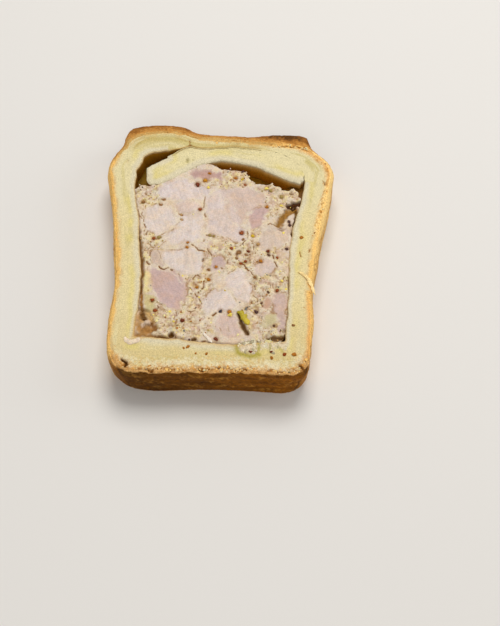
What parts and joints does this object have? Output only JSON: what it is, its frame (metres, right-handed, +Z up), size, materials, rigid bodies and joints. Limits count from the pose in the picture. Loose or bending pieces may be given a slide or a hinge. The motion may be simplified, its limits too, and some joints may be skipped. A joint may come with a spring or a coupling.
{
  "type": "slice of pate en croute",
  "caption": "Thick slice of pate in a pastry crust, lying on its cut face: coarse meat filling with chunks of meat, mustard seeds and jelly under a pastry lid that has come free at one end.",
  "frame": {"origin": "middle of the box that the slice fills, on the plane of the lower cut face that it rests on", "axes": "+Z up, out of the shown cut face; +Y from the base of the pate to its top; +X to the right in the picture"},
  "size_m": [0.0934, 0.12, 0.0183],
  "materials": {
    "pastry": "baked pastry, pale and close inside, browned skin",
    "forcemeat": "coarse moist minced meat",
    "pale_meat": "moist cooked white meat",
    "dark_meat": "moist cured pink meat",
    "jelly": "set stock jelly, brown and wet"
  },
  "bodies": {
    "root": {"pastry_crust": "pastry", "pastry_lid": "pastry", "forcemeat": "forcemeat", "meat_top": "dark_meat", "meat_upper_left": "pale_meat", "meat_left": "pale_meat", "meat_mid_upper": "pale_meat", "meat_mid_left": "pale_meat", "meat_centre": "pale_meat", "meat_centre_right": "pale_meat", "meat_centre_low": "pale_meat", "meat_dark_right": "dark_meat", "meat_right": "pale_meat", "meat_pale_left": "pale_meat", "meat_small_left": "dark_meat", "meat_dark_left": "dark_meat", "meat_small_centre": "dark_meat", "meat_mid_right": "pale_meat", "meat_low_centre": "pale_meat", "meat_low": "pale_meat", "meat_bottom": "pale_meat", "meat_low_right": "pale_meat", "meat_tan": "pale_meat", "jelly_under_lid": "jelly", "jelly_free_end": "jelly", "jelly_corner": "jelly", "jelly_right": "jelly"}
  },
  "joints": []
}
